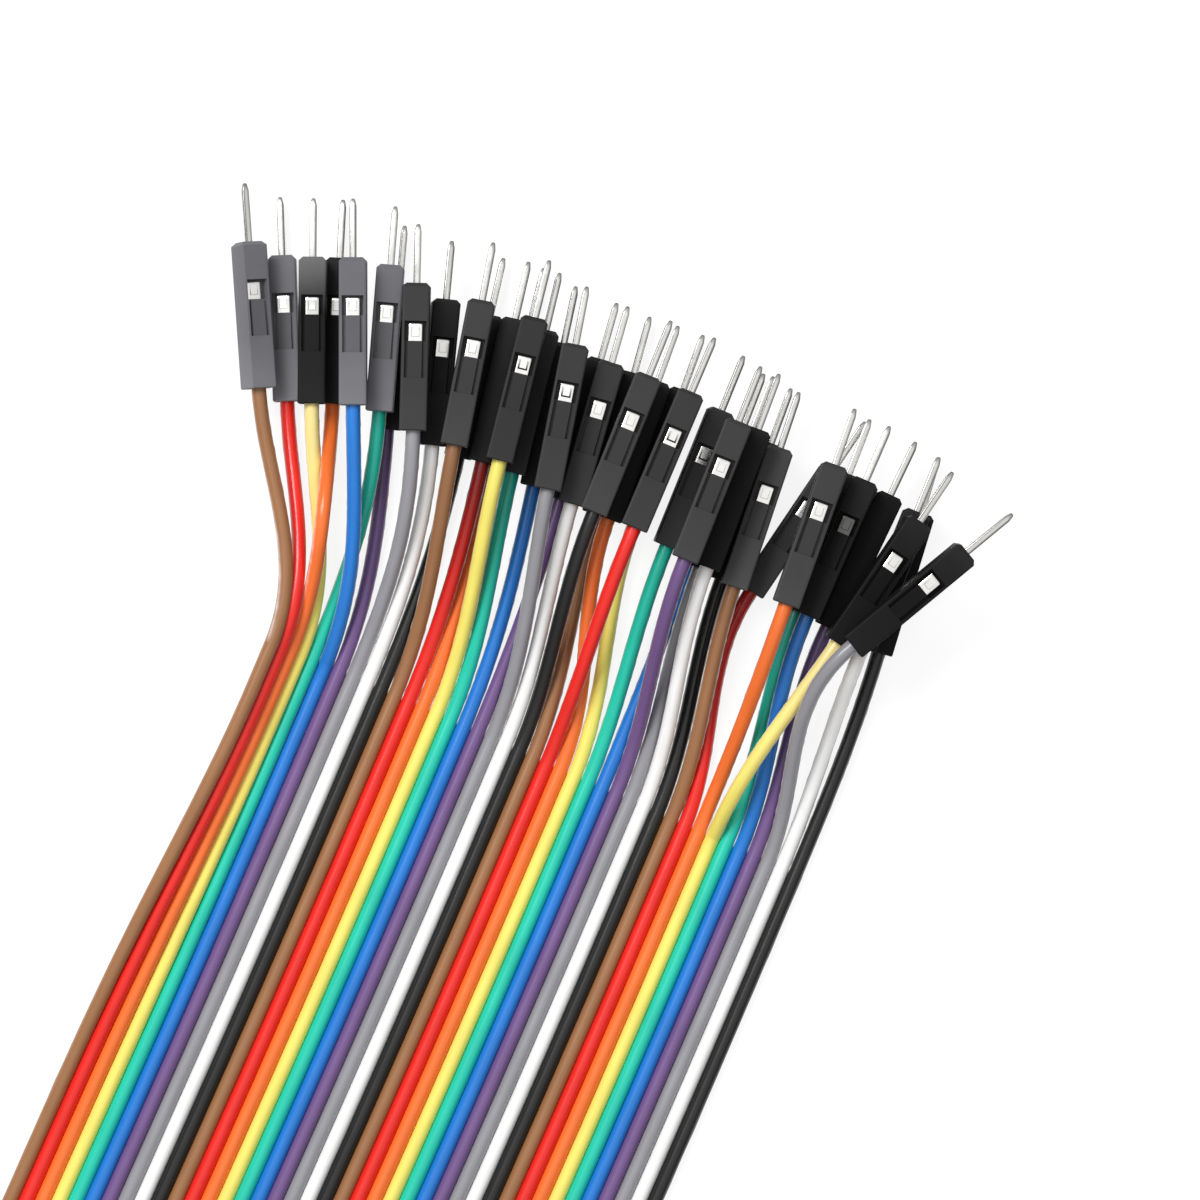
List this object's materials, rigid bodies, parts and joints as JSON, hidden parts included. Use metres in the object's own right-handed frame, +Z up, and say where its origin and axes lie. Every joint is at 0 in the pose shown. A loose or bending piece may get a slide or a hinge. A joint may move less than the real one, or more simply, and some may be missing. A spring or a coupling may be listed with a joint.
{
  "type": "breadboard jumper wire ribbon",
  "caption": "Flat rainbow ribbon of bonded jumper wires, split free at both ends, each wire ending in a one-way housing with a square pin.",
  "frame": {"origin": "on the surface that the ribbon lies on, under the centre of the box round all the plugs", "axes": "+Y along the ribbon towards the fanned plugs, +Z up from the surface, +X to the right seen from above"},
  "size_m": [0.0769, 0.2154, 0.0112],
  "materials": {
    "ribbon_insulation": "satin",
    "housing_black": "satin",
    "housing_charcoal": "satin",
    "plated_pin": "satin",
    "insulation_brown": "satin",
    "insulation_red": "satin",
    "insulation_orange": "satin",
    "insulation_yellow": "satin",
    "insulation_green": "satin",
    "insulation_blue": "satin",
    "insulation_purple": "satin",
    "insulation_grey": "satin",
    "insulation_white": "satin",
    "insulation_black": "satin"
  },
  "bodies": {
    "root": {"ribbon": "ribbon_insulation", "plug_01": "housing_charcoal", "plug_02": "housing_charcoal", "plug_03": "housing_black", "plug_04": "housing_black", "plug_05": "housing_charcoal", "plug_06": "housing_charcoal", "plug_07": "housing_black", "plug_08": "housing_black", "plug_09": "housing_black", "plug_10": "housing_black", "plug_11": "housing_black", "plug_12": "housing_black", "plug_13": "housing_black", "plug_14": "housing_black", "plug_15": "housing_black", "plug_16": "housing_black", "plug_17": "housing_black", "plug_18": "housing_black", "plug_19": "housing_black", "plug_20": "housing_black", "plug_21": "housing_black", "plug_22": "housing_black", "plug_23": "housing_black", "plug_24": "housing_black", "plug_25": "housing_black", "plug_26": "housing_black", "plug_27": "housing_black", "plug_28": "housing_black", "plug_29": "housing_black", "plug_30": "housing_black", "plug_31": "housing_black", "plug_32": "housing_black", "plug_33": "housing_black", "plug_34": "housing_black", "plug_35": "housing_black", "plug_36": "housing_black", "plug_37": "housing_black", "plug_38": "housing_black", "plug_39": "housing_black", "plug_40": "housing_black", "far_plugs_01": "housing_black", "far_plugs_02": "housing_black", "far_plugs_03": "housing_black", "far_plugs_04": "housing_black", "far_plugs_05": "housing_black", "far_plugs_06": "housing_black", "far_plugs_07": "housing_black", "far_plugs_08": "housing_black", "far_plugs_09": "housing_black", "far_plugs_10": "housing_black"}
  },
  "joints": []
}
